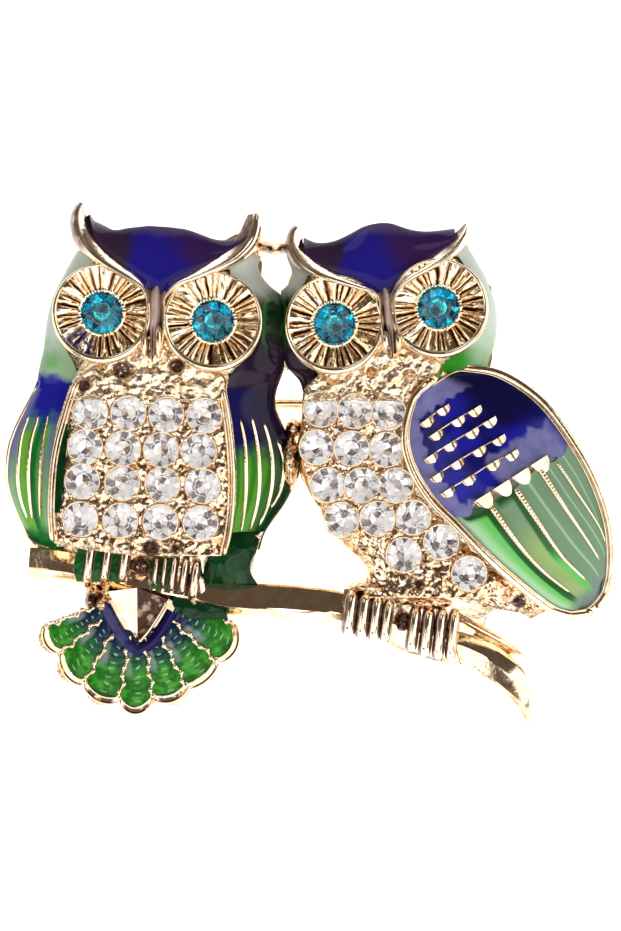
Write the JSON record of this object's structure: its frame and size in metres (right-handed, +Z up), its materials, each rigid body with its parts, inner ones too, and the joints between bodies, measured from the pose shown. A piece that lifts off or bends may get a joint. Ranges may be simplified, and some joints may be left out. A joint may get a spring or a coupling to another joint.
{
  "type": "figural animal brooch",
  "caption": "Brooch of two enamelled owls perched side by side on a branch, with fluted eyes, stone-set breasts, a fanned tail and a hinged pin.",
  "frame": {"origin": "centre of the bounding box at its base, where the brooch lies face up on its findings and the tip of the branch", "axes": "+X to the right across both owls as seen from the front, +Y up towards their heads, +Z up out of the surface it lies on"},
  "size_m": [0.046, 0.0394, 0.0088],
  "materials": {
    "gold": "polished",
    "blue_enamel": "gloss",
    "green_enamel": "gloss",
    "pale_green_enamel": "gloss",
    "teal_stone": "polished",
    "clear_stone": "polished"
  },
  "bodies": {
    "brooch": {"casting": "gold", "hinge_bracket": "gold", "hinge_rivet": "gold", "catch": "gold", "left_crown_enamel": "blue_enamel", "left_outer_cheek_enamel": "pale_green_enamel", "left_inner_cheek_enamel": "green_enamel", "left_outer_wing_enamel": "green_enamel", "left_inner_wing_enamel": "green_enamel", "left_flank_enamel": "green_enamel", "tail_blue_enamel": "blue_enamel", "tail_feather_enamel": "green_enamel", "right_crown_enamel": "blue_enamel", "right_inner_cheek_enamel": "green_enamel", "right_outer_cheek_enamel": "pale_green_enamel", "right_wing_blue_enamel": "blue_enamel", "right_wing_green_enamel": "pale_green_enamel", "eye_stone_1": "teal_stone", "eye_stone_2": "teal_stone", "eye_stone_3": "teal_stone", "eye_stone_4": "teal_stone", "left_stone_1": "clear_stone", "left_stone_2": "clear_stone", "left_stone_3": "clear_stone", "left_stone_4": "clear_stone", "left_stone_5": "clear_stone", "left_stone_6": "clear_stone", "left_stone_7": "clear_stone", "left_stone_8": "clear_stone", "left_stone_9": "clear_stone", "left_stone_10": "clear_stone", "left_stone_11": "clear_stone", "left_stone_12": "clear_stone", "left_stone_13": "clear_stone", "left_stone_14": "clear_stone", "left_stone_15": "clear_stone", "left_stone_16": "clear_stone", "right_stone_1": "clear_stone", "right_stone_2": "clear_stone", "right_stone_3": "clear_stone", "right_stone_4": "clear_stone", "right_stone_5": "clear_stone", "right_stone_6": "clear_stone", "right_stone_7": "clear_stone", "right_stone_8": "clear_stone", "right_stone_9": "clear_stone", "right_stone_10": "clear_stone", "right_stone_11": "clear_stone", "right_stone_12": "clear_stone", "right_stone_13": "clear_stone", "right_stone_14": "clear_stone", "right_stone_15": "clear_stone"},
    "pin": {"pin_stem": "gold"}
  },
  "joints": [
    {"name": "pin_swing", "type": "hinge", "parent": "brooch", "child": "pin", "pos_m": [0.01606, 0.0048, 0.00114], "axis": [0, -0.9937, -0.1118], "range_deg": [0, 75]}
  ]
}
